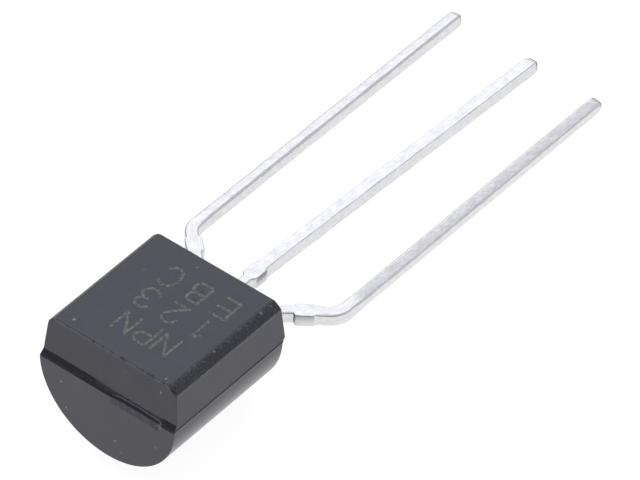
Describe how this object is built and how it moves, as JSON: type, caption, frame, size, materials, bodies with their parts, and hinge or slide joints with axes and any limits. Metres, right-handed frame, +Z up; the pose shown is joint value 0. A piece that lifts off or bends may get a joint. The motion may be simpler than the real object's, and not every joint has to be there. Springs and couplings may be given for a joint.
{
  "type": "npn transistor",
  "caption": "Small npn transistor in a black moulded case with a flat face and a round back, with formed tin-plated leads.",
  "frame": {"origin": "on the surface it lies on, below the middle of the whole part's box", "axes": "+Y along the leads, away from the case; +X to the side of the emitter lead; +Z up from the surface, so the flat face looks up, tilted about 8 degrees toward the leads"},
  "size_m": [0.0056, 0.018, 0.0042],
  "materials": {
    "epoxy": "satin",
    "tin": "satin",
    "silver_adhesive": "matte",
    "silicon": "polished",
    "gold": "polished"
  },
  "bodies": {
    "root": {"body": "epoxy", "emitter_lead": "tin", "base_lead": "tin", "collector_lead": "tin", "die_attach": "silver_adhesive", "die": "silicon", "base_wire": "gold", "emitter_wire": "gold"}
  },
  "joints": []
}
